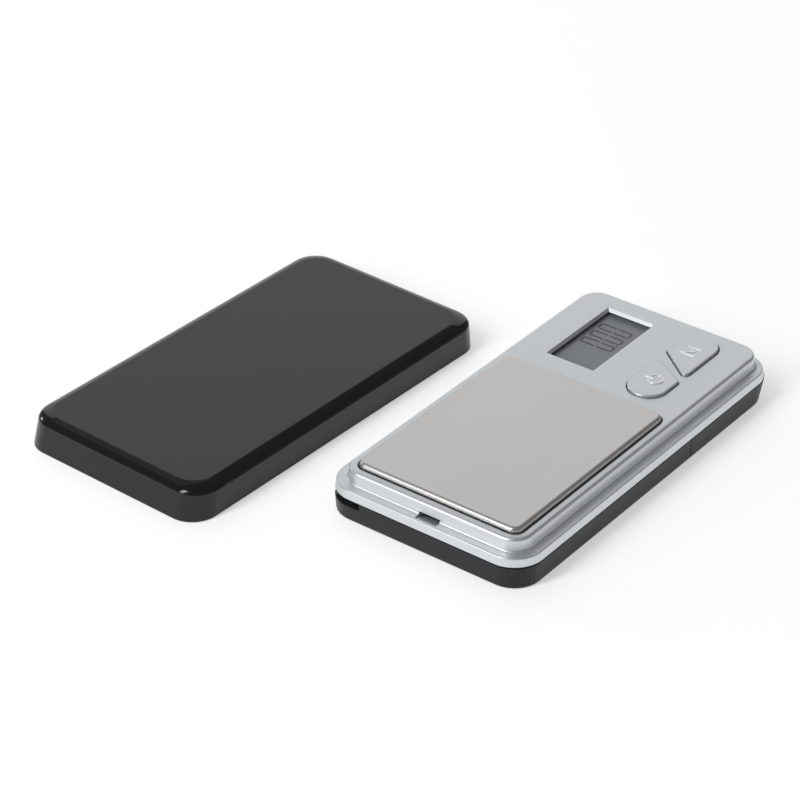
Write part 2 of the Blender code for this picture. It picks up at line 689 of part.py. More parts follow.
def screw(name, at, shaft, head, level, head_height, tip, down=False):
    """A pan head screw with a cross. level is where the head bears, tip the end of the shaft."""
    side = 1 if down else -1
    outside = level + side * head_height
    profile = [(0, outside), (head * 0.8, outside), (head, outside - side * 0.3 * head_height),
               (head, level), (shaft, level), (shaft, tip + side * shaft * 0.4), (shaft * 0.6, tip),
               (0, tip)]
    if not down:
        profile.reverse()
    obj = turned(name, profile, at, STEEL, steps=16)
    arm, line = head * CROSS_ARM, head * CROSS_LINE
    depth = sorted((outside + side * MM, outside - side * head_height * 0.5))
    for turn, (wide, tall) in enumerate(((arm, line), (line, arm))):
        cut(obj, block(f"{name}_cross_{turn}", (at[0] - wide, at[0] + wide),
                       (at[1] - tall, at[1] + tall), depth))
    return obj


def load_cell():
    y0, y1 = centred(BAR_CENTRE_Y, BAR_LENGTH)
    half = BAR_WIDTH / 2
    across = (-2 * half, 2 * half)
    bar = block("load_cell", (-half, half), (y0, y1), (BAR_BOTTOM, BAR_TOP))
    middle = (BAR_BOTTOM + BAR_TOP) / 2
    for sign in (-1, 1):
        place = (BAR_CENTRE_Y + sign * FLEXURE_SPACING / 2, middle)
        cut(bar, rod(f"flexure_{sign}", FLEXURE_RADIUS, across, place, axis="X", segments=28))
    cut(bar, block("flexure_slot", across, centred(BAR_CENTRE_Y, FLEXURE_SPACING),
                   centred(middle, FLEXURE_SLOT)))
    for number, y in enumerate(bar_screws(True) + bar_screws(False), 1):
        cut(bar, rod(f"bar_thread_{number}", BAR_HOLE, (0, 2 * BAR_TOP), (0, y), segments=20))
    spacer = block("load_cell_spacer", (-half, half), (spacer_start(), y1),
                   (BAR_PAD_TOP + FIT, BAR_BOTTOM - FIT))
    for number, y in enumerate(bar_screws(True), 1):
        cut(spacer, rod(f"spacer_hole_{number}", BAR_HOLE, (0, 2 * BAR_TOP), (0, y), segments=16))
    near, distant = GAUGE_LEVELS
    gauges = [
        block(f"strain_gauge_{side}", centred(0, GAUGE_WIDTH),
              centred(BAR_CENTRE_Y, 2 * gauge_half_length()), z)
        for side, z in (("top", (BAR_TOP + near, BAR_TOP + distant)),
                        ("bottom", (BAR_BOTTOM - distant, BAR_BOTTOM - near)))
    ]
    screws = [
        screw(f"load_cell_screw_{number}", (0, y), BAR_SCREW_SHAFT, BAR_SCREW_HEAD, BAR_SCREW_BEARS,
              BAR_SCREW_HEAD_HEIGHT, BAR_SCREW_TIP)
        for number, y in enumerate(bar_screws(True), 1)
    ]
    return bar, spacer, gauges, screws


def load_cell_wires():
    """Four leads from the gauges, above and beside the bar, to the front edge of the board."""
    bar_end = BAR_CENTRE_Y + BAR_LENGTH / 2
    solder_y = BOARD_CENTRE_Y - BOARD_SIZE[1] / 2 + 1.6 * MM
    above = BAR_TOP + LEAD_RISE
    landing = BOARD[1] + GAP
    made = []
    start = BAR_CENTRE_Y + gauge_half_length() + 0.4 * MM
    for name, x, land, mat in (("red", -1.5 * MM, 1.2 * MM, RED), ("white", 1.5 * MM, 2.8 * MM, WHITE)):
        route = [(x, start, above), (x, bar_end - 4 * MM, above),
                 ((x + land) / 2, bar_end + 2 * MM, above - 0.15 * MM),
                 (land, solder_y - 2 * MM, landing + 0.35 * MM), (land, solder_y, landing)]
        made.append(wire(f"gauge_wire_{name}", route, LEAD_RADIUS, mat))
    for name, aside, land, mat in (("black", 0.8 * MM, 4.4 * MM, BLACK),
                                   ("green", 1.6 * MM, 6.0 * MM, GREEN)):
        side = BAR_WIDTH / 2 + aside
        start = spacer_start() - 6.9 * MM + 2 * aside
        route = [(3.4 * MM, start, BAR_BOTTOM - 0.5 * MM), (side, start + 2.2 * MM, BAR_BOTTOM),
                 (side, start + 7 * MM, 3.2 * MM), (side, bar_end - 2 * MM, 4.6 * MM),
                 (land + 0.4 * MM, solder_y - 2.6 * MM, landing + 0.4 * MM), (land, solder_y, landing)]
        made.append(wire(f"gauge_wire_{name}", route, LEAD_RADIUS, mat))
    return made


def keys():
    """The two keys: caps in the pill openings, flanges under the roof, bosses down to the plungers."""
    made = []
    for name, rear in (("power_key", False), ("mode_key", True)):
        cap = outline_solid(name, key_outline(rear),
                            (INNER_ROOF - KEY_FLANGE_THICK, PLATEAU_Z + KEY_PROUD), edge=KEY_EDGE)
        flange_top = INNER_ROOF - FIT
        join(cap, outline_solid(name + "_flange", key_outline(rear, KEY_FLANGE),
                                (flange_top - KEY_FLANGE_THICK, flange_top)))
        join(cap, rod(name + "_boss", KEY_BOSS, (SWITCH_TOP + PLUNGER_UP + FIT, flange_top - 0.3 * MM),
                      key_switch_place(rear), segments=18))
        glyph = mode_glyph if rear else power_glyph
        join(cap, *glyph(name + "_glyph"), solver="MANIFOLD")
        made.append(cap)
    return made


def key_switch_place(rear):
    side = 1 if rear else -1
    return (PILL_CENTRE[0], PILL_CENTRE[1] + side * SWITCH_OFFSET)


def power_glyph(name):
    """An open ring with a short bar through its gap, which faces -X."""
    x, y = PILL_CENTRE[0] + 0.1 * MM, PILL_CENTRE[1] - GLYPH_OFFSET
    z = (PLATEAU_Z + KEY_PROUD - GLYPH_ROOT, PLATEAU_Z + KEY_PROUD + GLYPH_RISE)
    inner, outer = POWER_RING
    ring = rod(name + "_ring", outer, z, (x, y), segments=28)
    cut(ring, rod(name + "_core", inner, (0, 2 * PLATEAU_Z), (x, y), segments=28))
    cut(ring, block(name + "_gap", (x - 3 * MM, x - 0.4 * MM), centred(y, 1.5 * MM),
                    (0, 2 * PLATEAU_Z)))
    bar = block(name + "_bar", (x - POWER_BAR[1], x - POWER_BAR[0]), centred(y, POWER_LINE), z)
    return ring, bar


def mode_glyph(name):
    """A capital M whose top is towards -X."""
    x, y = PILL_CENTRE[0], PILL_CENTRE[1] + GLYPH_OFFSET
    z = (PLATEAU_Z + KEY_PROUD - GLYPH_ROOT, PLATEAU_Z + KEY_PROUD + GLYPH_RISE)
    top, foot = x - M_HEIGHT / 2, x + M_HEIGHT / 2
    made = []
    for sign in (-1, 1):
        leg = y + sign * (M_WIDTH - M_LINE) / 2
        made.append(block(f"{name}_leg_{sign}", (top, foot), centred(leg, M_LINE), z))
        start = Vector((top, y + sign * (M_WIDTH / 2 - M_LINE * 0.2)))
        tip = Vector((x + M_HEIGHT * 0.2, y - sign * M_LINE * 0.2))
        across = Vector((0, sign * M_LINE * 0.72))
        outline = [(p.x, p.y) for p in (start, tip, tip - across, start - across)]
        if sign < 0:
            outline.reverse()
        made.append(outline_solid(f"{name}_stroke_{sign}", outline,
                                  (z[0] + 0.01 * MM, z[1] - 0.01 * MM)))
    return made


def switches():
    """Two board switches. Each plunger moves with its key, inside a well of the switch body."""
    bodies, plungers = [], []
    plunger_z = (SWITCH_TOP - PLUNGER_DOWN, SWITCH_TOP + PLUNGER_UP)
    well_z = (plunger_z[0] - KEY_TRAVEL - 0.1 * MM, 2 * SWITCH_TOP)
    for name, rear in (("power", False), ("mode", True)):
        place = key_switch_place(rear)
        body = block(f"{name}_switch", centred(place[0], SWITCH_SIDE), centred(place[1], SWITCH_SIDE),
                     (BOARD[1] + FIT, SWITCH_TOP), corner=0.3 * MM, arc=2)
        cut(body, rod(f"{name}_well", SWITCH_WELL, well_z, place))
        bodies.append(body)
        plungers.append(rod(f"{name}_plunger", PLUNGER, plunger_z, place))
    return bodies, plungers


def electronics():
    board = block("main_board", centred(0, BOARD_SIZE[0]), centred(BOARD_CENTRE_Y, BOARD_SIZE[1]),
                  BOARD, corner=0.8 * MM, arc=2)
    for number, place in enumerate(housing_screw_places()[2:]):
        cut(board, rod(f"board_clear_{number}", BOSS + GAP, (0, 3 * PARTING_Z), place))
    for number, place in enumerate(board_screw_places()):
        cut(board, rod(f"board_hole_{number}", BOARD_SCREW_HOLE, (0, 3 * PARTING_Z), place,
                       segments=14))
    seat = BOARD[1] + FIT
    under_glass = (seat, GLASS[0] - FIT)
    glass_x = centred(WINDOW_CENTRE[0], GLASS_SIZE[0])
    glass_y = centred(WINDOW_CENTRE[1], GLASS_SIZE[1])
    glass = block("display_glass", glass_x, glass_y, GLASS)
    frame = block("display_frame", glass_x, glass_y, under_glass)
    cut(frame, block("frame_inside", (glass_x[0] + GLASS_RIM, glass_x[1] - GLASS_RIM),
                     (glass_y[0] + GLASS_RIM, glass_y[1] - GLASS_RIM), (0, 2 * GLASS[1])))
    strip_x = glass_x[0] + GLASS_RIM + GAP
    strip = block("display_connector", (strip_x, strip_x + CONNECTOR_WIDTH),
                  (glass_y[0] + 2 * GLASS_RIM, glass_y[1] - 2 * GLASS_RIM), under_glass)
    blob = block("controller_blob", (2.2 * MM, 4.7 * MM), (22.0 * MM, 27.5 * MM),
                 (seat, BOARD[1] + 1.2 * MM), corner=1.1 * MM, top_edge=0.6 * MM, edge_arc=3)
    chip = block("converter_chip", (12.0 * MM, 16.0 * MM), (25.0 * MM, 30.0 * MM),
                 (seat, BOARD[1] + 1.3 * MM))
    crystal = block("crystal", (2.0 * MM, 3.8 * MM), (30.5 * MM, 36.5 * MM),
                    (seat, BOARD[1] + 1.4 * MM), corner=0.6 * MM, arc=3)
    return board, glass, frame, strip, blob, chip, crystal


def battery():
    low = BAY_PLATE[0] + 0.05 * MM
    top = low + CELL_HEIGHT
    r = CELL_DIAMETER / 2
    lip, step = CELL_SHOULDER, 0.3 * MM
    profile = [(0, top), (r - lip, top), (r - lip + 0.2 * MM, top - step), (r - 0.5 * MM, top - step),
               (r, top - 0.7 * MM), (r, low + 0.4 * MM), (r - 0.4 * MM, low), (0, low)]
    cell = turned("coin_cell", profile, (0, CELL_Y), CELL_STEEL, steps=48)
    negative = block("contact_negative", centred(0, 5 * MM), centred(CELL_Y, 11 * MM),
                     (top + 0.1 * MM, top + 0.28 * MM), corner=0.6 * MM, arc=3)
    side = r + GAP + CELL_RING_WALL + 0.35 * MM
    positive = block("contact_positive", (side, side + CONTACT_THICK), centred(CELL_Y, 6 * MM),
                     (BAY_PLATE[1] + 0.35 * MM, BOARD[0] - FIT))
    return cell, negative, positive


def housing_screws():
    made = []
    for number, place in enumerate(housing_screw_places(), 1):
        level = screw_seat(place[1])
        made.append(screw(f"housing_screw_{number}", place, SCREW_SHAFT, SCREW_HEAD, level,
                          SCREW_HEAD_HEIGHT, level + SCREW_REACH))
    return made


def board_screws():
    return [
        screw(f"board_screw_{number}", place, BOARD_SCREW_SHAFT, BOARD_SCREW_HEAD,
              BOARD[0] - 0.1 * MM, BOARD_SCREW_SHAFT, BOARD[1] + BOARD_SCREW_REACH)
        for number, place in enumerate(board_screw_places(), 1)
    ]


def cover_form(name, wall=0.0, height=COVER_HEIGHT, base=0.0):
    """The drafted box of the cover in its own frame, or the hollow inside it when wall is given."""
    half_w, half_l = COVER_WIDTH / 2 - wall, COVER_LENGTH / 2 - wall
    return block(
        name,
        (-half_w, half_w),
        (-half_l, half_l),
        (base, height),
        corner=COVER_CORNER - wall,
        top=((-half_w + COVER_SIDE_DRAFT, half_w - COVER_SIDE_DRAFT),
             (-half_l + COVER_FRONT_DRAFT, half_l - COVER_REAR_DRAFT)),
        top_edge=COVER_SHOULDER - wall,
        edge_arc=5,
    )


def press_on_cover():
    shell = cover_form("press_on_cover")
    cut(shell, cover_form("cover_hollow", COVER_WALL, COVER_HEIGHT - COVER_ROOF, -TOUCH))
    for end, out in (("front", -1), ("rear", 1)):
        wall = out * (COVER_LENGTH / 2 - COVER_WALL)
        y = sorted((wall + out * CATCH_ROOT, wall - out * CATCH_REACH))
        join(shell, block(f"{end}_catch", centred(SLOT_CENTRE_X, SLOT_WIDTH - MM), y, COVER_CATCH))
    return shell


def paint(objects, mat):
    for obj in objects:
        obj.data.materials.clear()
        obj.data.materials.append(mat)


def parent_to(name, place, children, yaw=0.0):
    """Puts an empty at the given place and hangs the children on it where they are."""
    empty = bpy.data.objects.new(name, None)
    empty.empty_display_size = 5 * MM
    empty.location = place
    PARTS.objects.link(empty)
    for child in children:
        child.parent = empty
        if yaw == 0.0:
            child.matrix_parent_inverse = Matrix.Translation(place).inverted()
    empty.rotation_euler = (0, 0, yaw)
    return empty


def parent_helpers(obj, empty):
    """The cutters of an object that is placed by an empty move with it."""
    for modifier in obj.modifiers:
        if modifier.type == "BOOLEAN":
            modifier.object.parent = empty


clear_scene()
PARTS = new_collection("pocket_gram_scale")
CUTTERS = new_collection("cutters")
CUTTERS.hide_render = True

SILVER = material("silver_paint", (0.62, 0.64, 0.66), 0.38, 0.6)
BLACK = material("black_plastic", (0.03, 0.03, 0.033), 0.4)
GLOSS = material("gloss_black", (0.012, 0.012, 0.013), 0.08)
STAINLESS = material("satin_stainless", (0.58, 0.56, 0.54), 0.35, 1.0)
STEEL = material("zinc_steel", (0.6, 0.6, 0.6), 0.35, 1.0)
CELL_STEEL = material("cell_steel", (0.72, 0.72, 0.7), 0.25, 1.0)
ALUMINIUM = material("aluminium", (0.77, 0.78, 0.79), 0.4, 1.0)
CARRIER = material("grey_plastic", (0.18, 0.18, 0.18), 0.55)
LCD = material("display_glass", (0.2, 0.22, 0.21), 0.12)
FRAME = material("white_plastic", (0.8, 0.8, 0.78), 0.5)
BOARD_GREEN = material("board_green", (0.02, 0.16, 0.06), 0.4)
RUBBER = material("connector_rubber", (0.35, 0.12, 0.14), 0.7)
EPOXY = material("epoxy_black", (0.01, 0.01, 0.01), 0.35)
GAUGE = material("gauge_film", (0.65, 0.42, 0.12), 0.35)
BRASS = material("contact_metal", (0.8, 0.7, 0.45), 0.3, 1.0)
TAPE = material("tape_foam", (0.85, 0.85, 0.82), 0.8)
RED = material("wire_red", (0.55, 0.02, 0.02), 0.45)
WHITE = material("wire_white", (0.8, 0.8, 0.78), 0.45)
GREEN = material("wire_green", (0.02, 0.3, 0.06), 0.45)

lower = lower_housing()
bay_cover = battery_cover()
upper = upper_housing()
tray, carrier, tape, *carrier_screws = weighing_platform()
bar, spacer, gauges, bar_screw_objects = load_cell()
wires = load_cell_wires()
power_key, mode_key = keys()
switch_bodies, (power_plunger, mode_plunger) = switches()
board, glass, frame, strip, blob, chip, crystal = electronics()
cell, negative, positive = battery()
housing_screw_objects = housing_screws()
board_screw_objects = board_screws()
cover = press_on_cover()

paint([lower, bay_cover], BLACK)
paint([upper, power_key, mode_key], SILVER)
paint([cover], GLOSS)
paint([tray], STAINLESS)
paint([carrier], CARRIER)
paint([tape], TAPE)
paint([bar], ALUMINIUM)
paint([spacer], STEEL)
paint(gauges, GAUGE)
paint([*switch_bodies, blob, chip], EPOXY)
paint([power_plunger, mode_plunger], CARRIER)
paint([board], BOARD_GREEN)
paint([glass], LCD)
paint([frame], FRAME)
paint([strip], RUBBER)
paint([crystal], STEEL)
paint([negative, positive], BRASS)

parent_to("platform_axis", (0, BAR_CENTRE_Y, TRAY_TOP), [tray, carrier, tape, *carrier_screws])
parent_to("power_key_axis", (*key_switch_place(False), PLATEAU_Z), [power_key, power_plunger])
parent_to("mode_key_axis", (*key_switch_place(True), PLATEAU_Z), [mode_key, mode_plunger])
parent_to("battery_cover_axis", (0, SEAM_Y, 0), [bay_cover])
cover_origin = parent_to("cover_axis", (*COVER_PLACE, 0), [cover], COVER_YAW)
parent_helpers(cover, cover_origin)
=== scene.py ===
"""Looks for the pocket gram scale and its press-on cover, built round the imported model.

The outer shells are lofted through rings of rounded rectangles and carved by Booleans. Shape sizes are in
millimetres. +Y runs towards the display end, +Z is up, and the cover lies on the -X side.
"""

import math

import bmesh
import bpy
from mathutils import Matrix, Vector


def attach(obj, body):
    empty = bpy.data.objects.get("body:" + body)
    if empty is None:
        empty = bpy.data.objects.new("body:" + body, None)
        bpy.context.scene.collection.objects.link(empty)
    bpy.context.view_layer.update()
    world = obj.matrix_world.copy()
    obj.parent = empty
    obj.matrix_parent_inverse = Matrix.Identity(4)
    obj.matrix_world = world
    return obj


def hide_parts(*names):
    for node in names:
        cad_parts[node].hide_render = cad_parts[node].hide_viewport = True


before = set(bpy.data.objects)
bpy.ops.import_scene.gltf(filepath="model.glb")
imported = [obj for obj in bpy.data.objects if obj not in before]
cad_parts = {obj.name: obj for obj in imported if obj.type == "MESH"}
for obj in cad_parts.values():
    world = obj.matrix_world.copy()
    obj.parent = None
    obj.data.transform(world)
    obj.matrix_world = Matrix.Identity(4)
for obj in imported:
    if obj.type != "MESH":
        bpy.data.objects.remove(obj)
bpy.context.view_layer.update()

MM = 0.001

# Camera, at the photograph's viewing angle
CAMERA_PLACE = (0.2610, -0.3911, 0.3121)
CAMERA_PITCH = 0.570
CAMERA_YAW = 0.654
CAMERA_LENS = 127.67
SENSOR = 36.0

# Lights: direction from the object, width and height in metres, radiance
LIGHT_TARGET = (-0.02, 0.0, 0.0)
LIGHT_DISTANCE = 1.3
LIGHTS = {
    "back_softbox": ((-0.55, 0.66, 0.40), (1.5, 1.1), 0.73),
    "upper_panel": ((-0.50, 0.22, 0.85), (1.1, 0.45), 0.24),
    "front_lamp": ((-0.25, -0.72, 0.60), (0.30, 1.0), 9.0),
    "left_lamp": ((-1.0, -0.05, 0.32), (0.25, 0.25), 6.0),
}
WORLD_STRENGTH = 0.2
FLOOR_GLOW = 0.46
FLOOR_SIZE = 4.0
FLOOR_DROP = 0.0001

# Steps along a ring's corner and along a rounded edge. Faces that meet at less than the angle are smooth.
CORNER_STEPS = 18
ROUND_STEPS = 8
SMOOTH_BELOW = math.radians(32)

# Upper housing, mm, with the values of part.py
HALF_WIDTH = 23.5
HALF_LENGTH = 44.6
CORNER = 6.4
SEAM_TOP = 4.92
SEAM_EDGE = (0.04, 0.1)
LEDGE_Z = 6.7
LEDGE_INSET = 0.25
LEDGE_RIM = 0.28
LEDGE_UNDER = 5.7
PLATEAU_HALF = 21.2
PLATEAU_FRONT = -42.2
PLATEAU_REAR = 43.1
PLATEAU_CORNER = 4.4
PLATEAU_Z = 9.4
PLATEAU_EDGE = 0.75
FLANK_LEAN = 0.2
FILLET = 0.8
FILLET_TUCK = 0.05
FRONT_SHARE = 0.5
REAR_SHARE = 0.3
ROOF_UNDER = 8.3
WALL = 1.2
OPENING_ROUND = 0.15

# Weighing tray and its recess, mm
TRAY_GAP = 0.35
TRAY_BOTTOM = 8.75
TRAY_TOP = 10.4
TRAY_ROUND = 0.85
TRAY_SHEET = 0.6
TRAY_INNER_ROUND = 0.45
TRAY_LEAST_CORNER = 0.5
RECESS_FLOOR = 7.9
RECESS_FLOOR_UNDER = 6.9
RECESS_CORNER = 2.4
RECESS = (-19.3, 19.3, -40.3, 10.3)
CARRIER_OPENING = (-7.0, 7.0, -38.5, -22.5)

# Display window and digits, mm
WINDOW = (-13.6, -2.1, 15.95, 38.45)
WINDOW_CORNER = (0.25, 0.3)
WINDOW_LEAN = 0.36
WINDOW_LIP = 0.75
WINDOW_UNDERCUT = 0.4
GLASS_TOP = 7.99
DIGIT_LEVELS = (0.004, 0.012)
DIGIT_HEIGHT = 7.8
DIGIT_WIDTH = 2.3
DIGIT_LINE = 0.45
DIGIT_TOP_X = -12.3
DIGIT_PLACES = (25.75, 29.0, 32.25)
DIGIT_END_GAP = 0.4
DIGIT_SIDE_GAP = 0.35
DIGIT_MIDDLE_GAP = 0.25
POINT_PLACE = (28.3, 28.75)

# Keys, two halves of one pill, and their signs, mm
PILL_CENTRE = (9.9, 26.9)
PILL_SIZE = (8.4, 26.8)
POWER_SLANT, POWER_INNER = 0.61, 1.9
MODE_SLANT, MODE_INNER = 0.79, 0.85
KEY_CORNER = 0.9
KEY_PROUD = 0.5
KEY_GAP = 0.22
KEY_ROUND = 0.28
KEY_FOOT = 0.2
SIGN_OFFSET = 6.7
SIGN_LEVELS = (PLATEAU_Z + KEY_PROUD - 0.1, PLATEAU_Z + KEY_PROUD + 0.12)
POWER_RING = (1.4, 1.75)
POWER_GAP = math.radians(26)
POWER_STEPS = 40
POWER_BAR = (0.4, 2.3)
POWER_LINE = 0.34
M_HEIGHT, M_WIDTH, M_LINE = 3.4, 3.2, 0.36
M_SHOULDER = 0.65

# Catch slots between the ledge and the raised top, mm
SLOT = (-1.9, 3.0)
SLOT_Z = (5.9, 7.3)
SLOT_DEPTH = 2.4
SLOT_OVERLAP = 0.05
TROUGH_Z = 6.3
TROUGH_REACH = 1.5
REAR_SLOT_REACH = 0.6

# Cover, mm, in its own frame
COVER_HALF = (23.6, 44.15)
COVER_CORNER = 5.9
COVER_CORNER_TAPER = 0.3
COVER_WALL_TOP = 5.14
COVER_TOP = 6.93
COVER_LEAN_SIDE = 0.35
COVER_LEAN_FRONT = 1.5
COVER_SHOULDER = 2.7
COVER_FRONT_SHOULDER = 2.4
SHOULDER_SWEEP = 60.0
SHOULDER_STEPS = 14
COVER_TOP_CORNER = 4.7
COVER_WALL = 0.8
COVER_ROOF = 1.3
COVER_RIM_INSET = 0.15
COVER_PLACE = (-60.2, -19.8)
COVER_YAW = math.radians(-2.1)


def material(name, colour, roughness, metallic=0.0, grain=400.0, bump=0.02, spread=0.06, **more):
    """A Principled material whose colour, roughness and surface vary with a fine noise."""
    made = bpy.data.materials.new(name)
    made.use_nodes = True
    nodes, links = made.node_tree.nodes, made.node_tree.links
    shader = nodes["Principled BSDF"]
    place = nodes.new("ShaderNodeTexCoord")
    noise = nodes.new("ShaderNodeTexNoise")
    noise.inputs["Scale"].default_value = grain
    noise.inputs["Detail"].default_value = 4.0
    links.new(place.outputs["Object"], noise.inputs["Vector"])
    tint = nodes.new("ShaderNodeMix")
    tint.data_type = "RGBA"
    tint.inputs["A"].default_value = (*[c * (1 - spread) for c in colour], 1.0)
    tint.inputs["B"].default_value = (*[min(1.0, c * (1 + spread)) for c in colour], 1.0)
    links.new(noise.outputs["Fac"], tint.inputs["Factor"])
    links.new(tint.outputs["Result"], shader.inputs["Base Color"])
    rough = nodes.new("ShaderNodeMapRange")
    rough.inputs["To Min"].default_value = roughness * 0.85
    rough.inputs["To Max"].default_value = roughness * 1.15
    links.new(noise.outputs["Fac"], rough.inputs["Value"])
    links.new(rough.outputs["Result"], shader.inputs["Roughness"])
    shader.inputs["Metallic"].default_value = metallic
    if bump > 0:
        relief = nodes.new("ShaderNodeBump")
        relief.inputs["Strength"].default_value = bump
        relief.inputs["Distance"].default_value = 0.02 * MM
        links.new(noise.outputs["Fac"], relief.inputs["Height"])
        links.new(relief.outputs["Normal"], shader.inputs["Normal"])
    for socket, value in more.items():
        shader.inputs[socket.replace("_", " ")].default_value = value
    return made


def brushed(name, colour, roughness, stretch):
    """Satin metal with a fine grain drawn out along one axis."""
    made = material(name, colour, roughness, 1.0, grain=220.0, bump=0.008, spread=0.03)
    nodes, links = made.node_tree.nodes, made.node_tree.links
    place = nodes["Texture Coordinate"]
    noise = nodes["Noise Texture"]
    mapping = nodes.new("ShaderNodeMapping")
    mapping.inputs["Scale"].default_value = stretch
    links.new(place.outputs["Object"], mapping.inputs["Vector"])
    links.new(mapping.outputs["Vector"], noise.inputs["Vector"])
    return made


def ring(x0, x1, y0, y1, radius, z):
    """Points of a rounded rectangle, counter-clockwise, at one level."""
    centres = ((x1 - radius, y0 + radius), (x1 - radius, y1 - radius),
               (x0 + radius, y1 - radius), (x0 + radius, y0 + radius))
    points = []
    for quarter, (cx, cy) in enumerate(centres):
        for k in range(CORNER_STEPS + 1):
            angle = (quarter - 1 + k / CORNER_STEPS) * math.pi / 2
            points.append((cx + radius * math.cos(angle), cy + radius * math.sin(angle), z))
    return points


def object_from(bm, name):
    bmesh.ops.recalc_face_normals(bm, faces=bm.faces)
    mesh = bpy.data.meshes.new(name)
    bm.to_mesh(mesh)
    bm.free()
    obj = bpy.data.objects.new(name, mesh)
    bpy.context.scene.collection.objects.link(obj)
    return obj


def loft(name, rings):
    """A closed solid through rings of equal point counts, given in mm."""
    bm = bmesh.new()
    loops = [[bm.verts.new(Vector(p) * MM) for p in points] for points in rings]
    for lower, upper in zip(loops, loops[1:]):
        for i in range(len(lower)):
            j = (i + 1) % len(lower)
            bm.faces.new((lower[i], lower[j], upper[j], upper[i]))
    bm.faces.new(reversed(loops[0]))
    bm.faces.new(loops[-1])
    return object_from(bm, name)


def prism(name, points, z0, z1):
    return loft(name, [[(x, y, z) for x, y in points] for z in (z0, z1)])


def block(name, x0, x1, y0, y1, z0, z1, radius=0.0):
    if radius == 0.0:
        return prism(name, [(x0, y0), (x1, y0), (x1, y1), (x0, y1)], z0, z1)
    return loft(name, [ring(x0, x1, y0, y1, radius, z) for z in (z0, z1)])


def settle(piece):
    """Makes the evaluated mesh the piece's own, so that no modifier is left on it."""
    graph = bpy.context.evaluated_depsgraph_get()
    mesh = bpy.data.meshes.new_from_object(piece.evaluated_get(graph))
    piece.modifiers.clear()
    piece.data = mesh


def carve(piece, *tools):
    """Cuts the tools out of the piece and removes them."""
    for tool in tools:
        modifier = piece.modifiers.new("Carve", "BOOLEAN")
        modifier.operation = "DIFFERENCE"
        modifier.solver = "EXACT"
        modifier.object = tool
    settle(piece)
    for tool in tools:
        bpy.data.objects.remove(tool, do_unlink=True)


def shade(piece, mat):
    piece.data.materials.clear()
    piece.data.materials.append(mat)
    piece.data.shade_smooth()
    piece.data.set_sharp_from_angle(angle=SMOOTH_BELOW)
    weighted = piece.modifiers.new("Normals", "WEIGHTED_NORMAL")
    weighted.keep_sharp = True


def arc(count, start=0.0, end=90.0):
    """(cosine, sine) pairs along a circular arc."""
    angles = [math.radians(start + (end - start) * k / count) for k in range(count + 1)]
    return [(math.cos(a), math.sin(a)) for a in angles]


def key_outline(rear, grow=0.0):
    """One half of the pill that the keys share: a round outer end and a slanting inner side."""
    slant, inner = (MODE_SLANT, MODE_INNER) if rear else (POWER_SLANT, POWER_INNER)
    half = PILL_SIZE[0] / 2 + grow
    end = PILL_SIZE[1] / 2 + grow
    inner -= grow * math.hypot(1.0, slant)
    tips = [(-half, -end), (half, -end), (half, -slant * half - inner), (-half, slant * half - inner)]
    radii = [half * 0.999, half * 0.999, KEY_CORNER + grow, KEY_CORNER + grow]
    points = []
    for i, tip in enumerate(tips):
        here = Vector(tip)
        back = (Vector(tips[i - 1]) - here).normalized()
        ahead = (Vector(tips[(i + 1) % 4]) - here).normalized()
        half_angle = back.angle(ahead) / 2
        centre = here + (back + ahead).normalized() * radii[i] / math.sin(half_angle)
        start = here + back * radii[i] / math.tan(half_angle) - centre
        sweep = math.pi - 2 * half_angle
        steps = CORNER_STEPS if i < 2 else ROUND_STEPS
        points += [centre + Matrix.Rotation(sweep * k / steps, 2) @ start for k in range(steps + 1)]
    side = -1 if rear else 1
    return [(PILL_CENTRE[0] + side * p.x, PILL_CENTRE[1] + side * p.y) for p in points]


def recess_outline(grow):
    x0, x1, y0, y1 = RECESS
    return [p[:2] for p in ring(x0 - grow, x1 + grow, y0 - grow, y1 + grow, RECESS_CORNER + grow, 0)]


def flared(name, outline, z0):
    """A cutter that leaves a rounded edge in the top face. outline gives its points, grown by a distance."""
    levels = [(0.0, z0)]
    levels += [(OPENING_ROUND * (1 - c), PLATEAU_Z - OPENING_ROUND * (1 - s)) for c, s in arc(4)]
    levels.append((OPENING_ROUND, 2 * PLATEAU_Z))
    return loft(name, [[(x, y, z) for x, y in outline(grow)] for grow, z in levels])


def window_cutters():
    """The display window, whose walls lean outwards to the top, and the undercut below its lip."""
    x0, x1, y0, y1 = WINDOW
    lean, wide, low = WINDOW_LEAN, WINDOW_UNDERCUT, PLATEAU_Z - WINDOW_LIP
    small, large = WINDOW_CORNER
    opening = loft("window", [
        ring(x0 + lean, x1 - lean, y0 + lean, y1 - lean, small, SEAM_TOP),
        ring(x0 + lean, x1 - lean, y0 + lean, y1 - lean, small, low),
        ring(x0, x1, y0, y1, large, PLATEAU_Z),
        ring(x0, x1, y0, y1, large, 2 * PLATEAU_Z),
    ])
    return opening, block("window_undercut", x0 - wide, x1 + wide, y0 - wide, y1 + wide, SEAM_TOP, low, large)


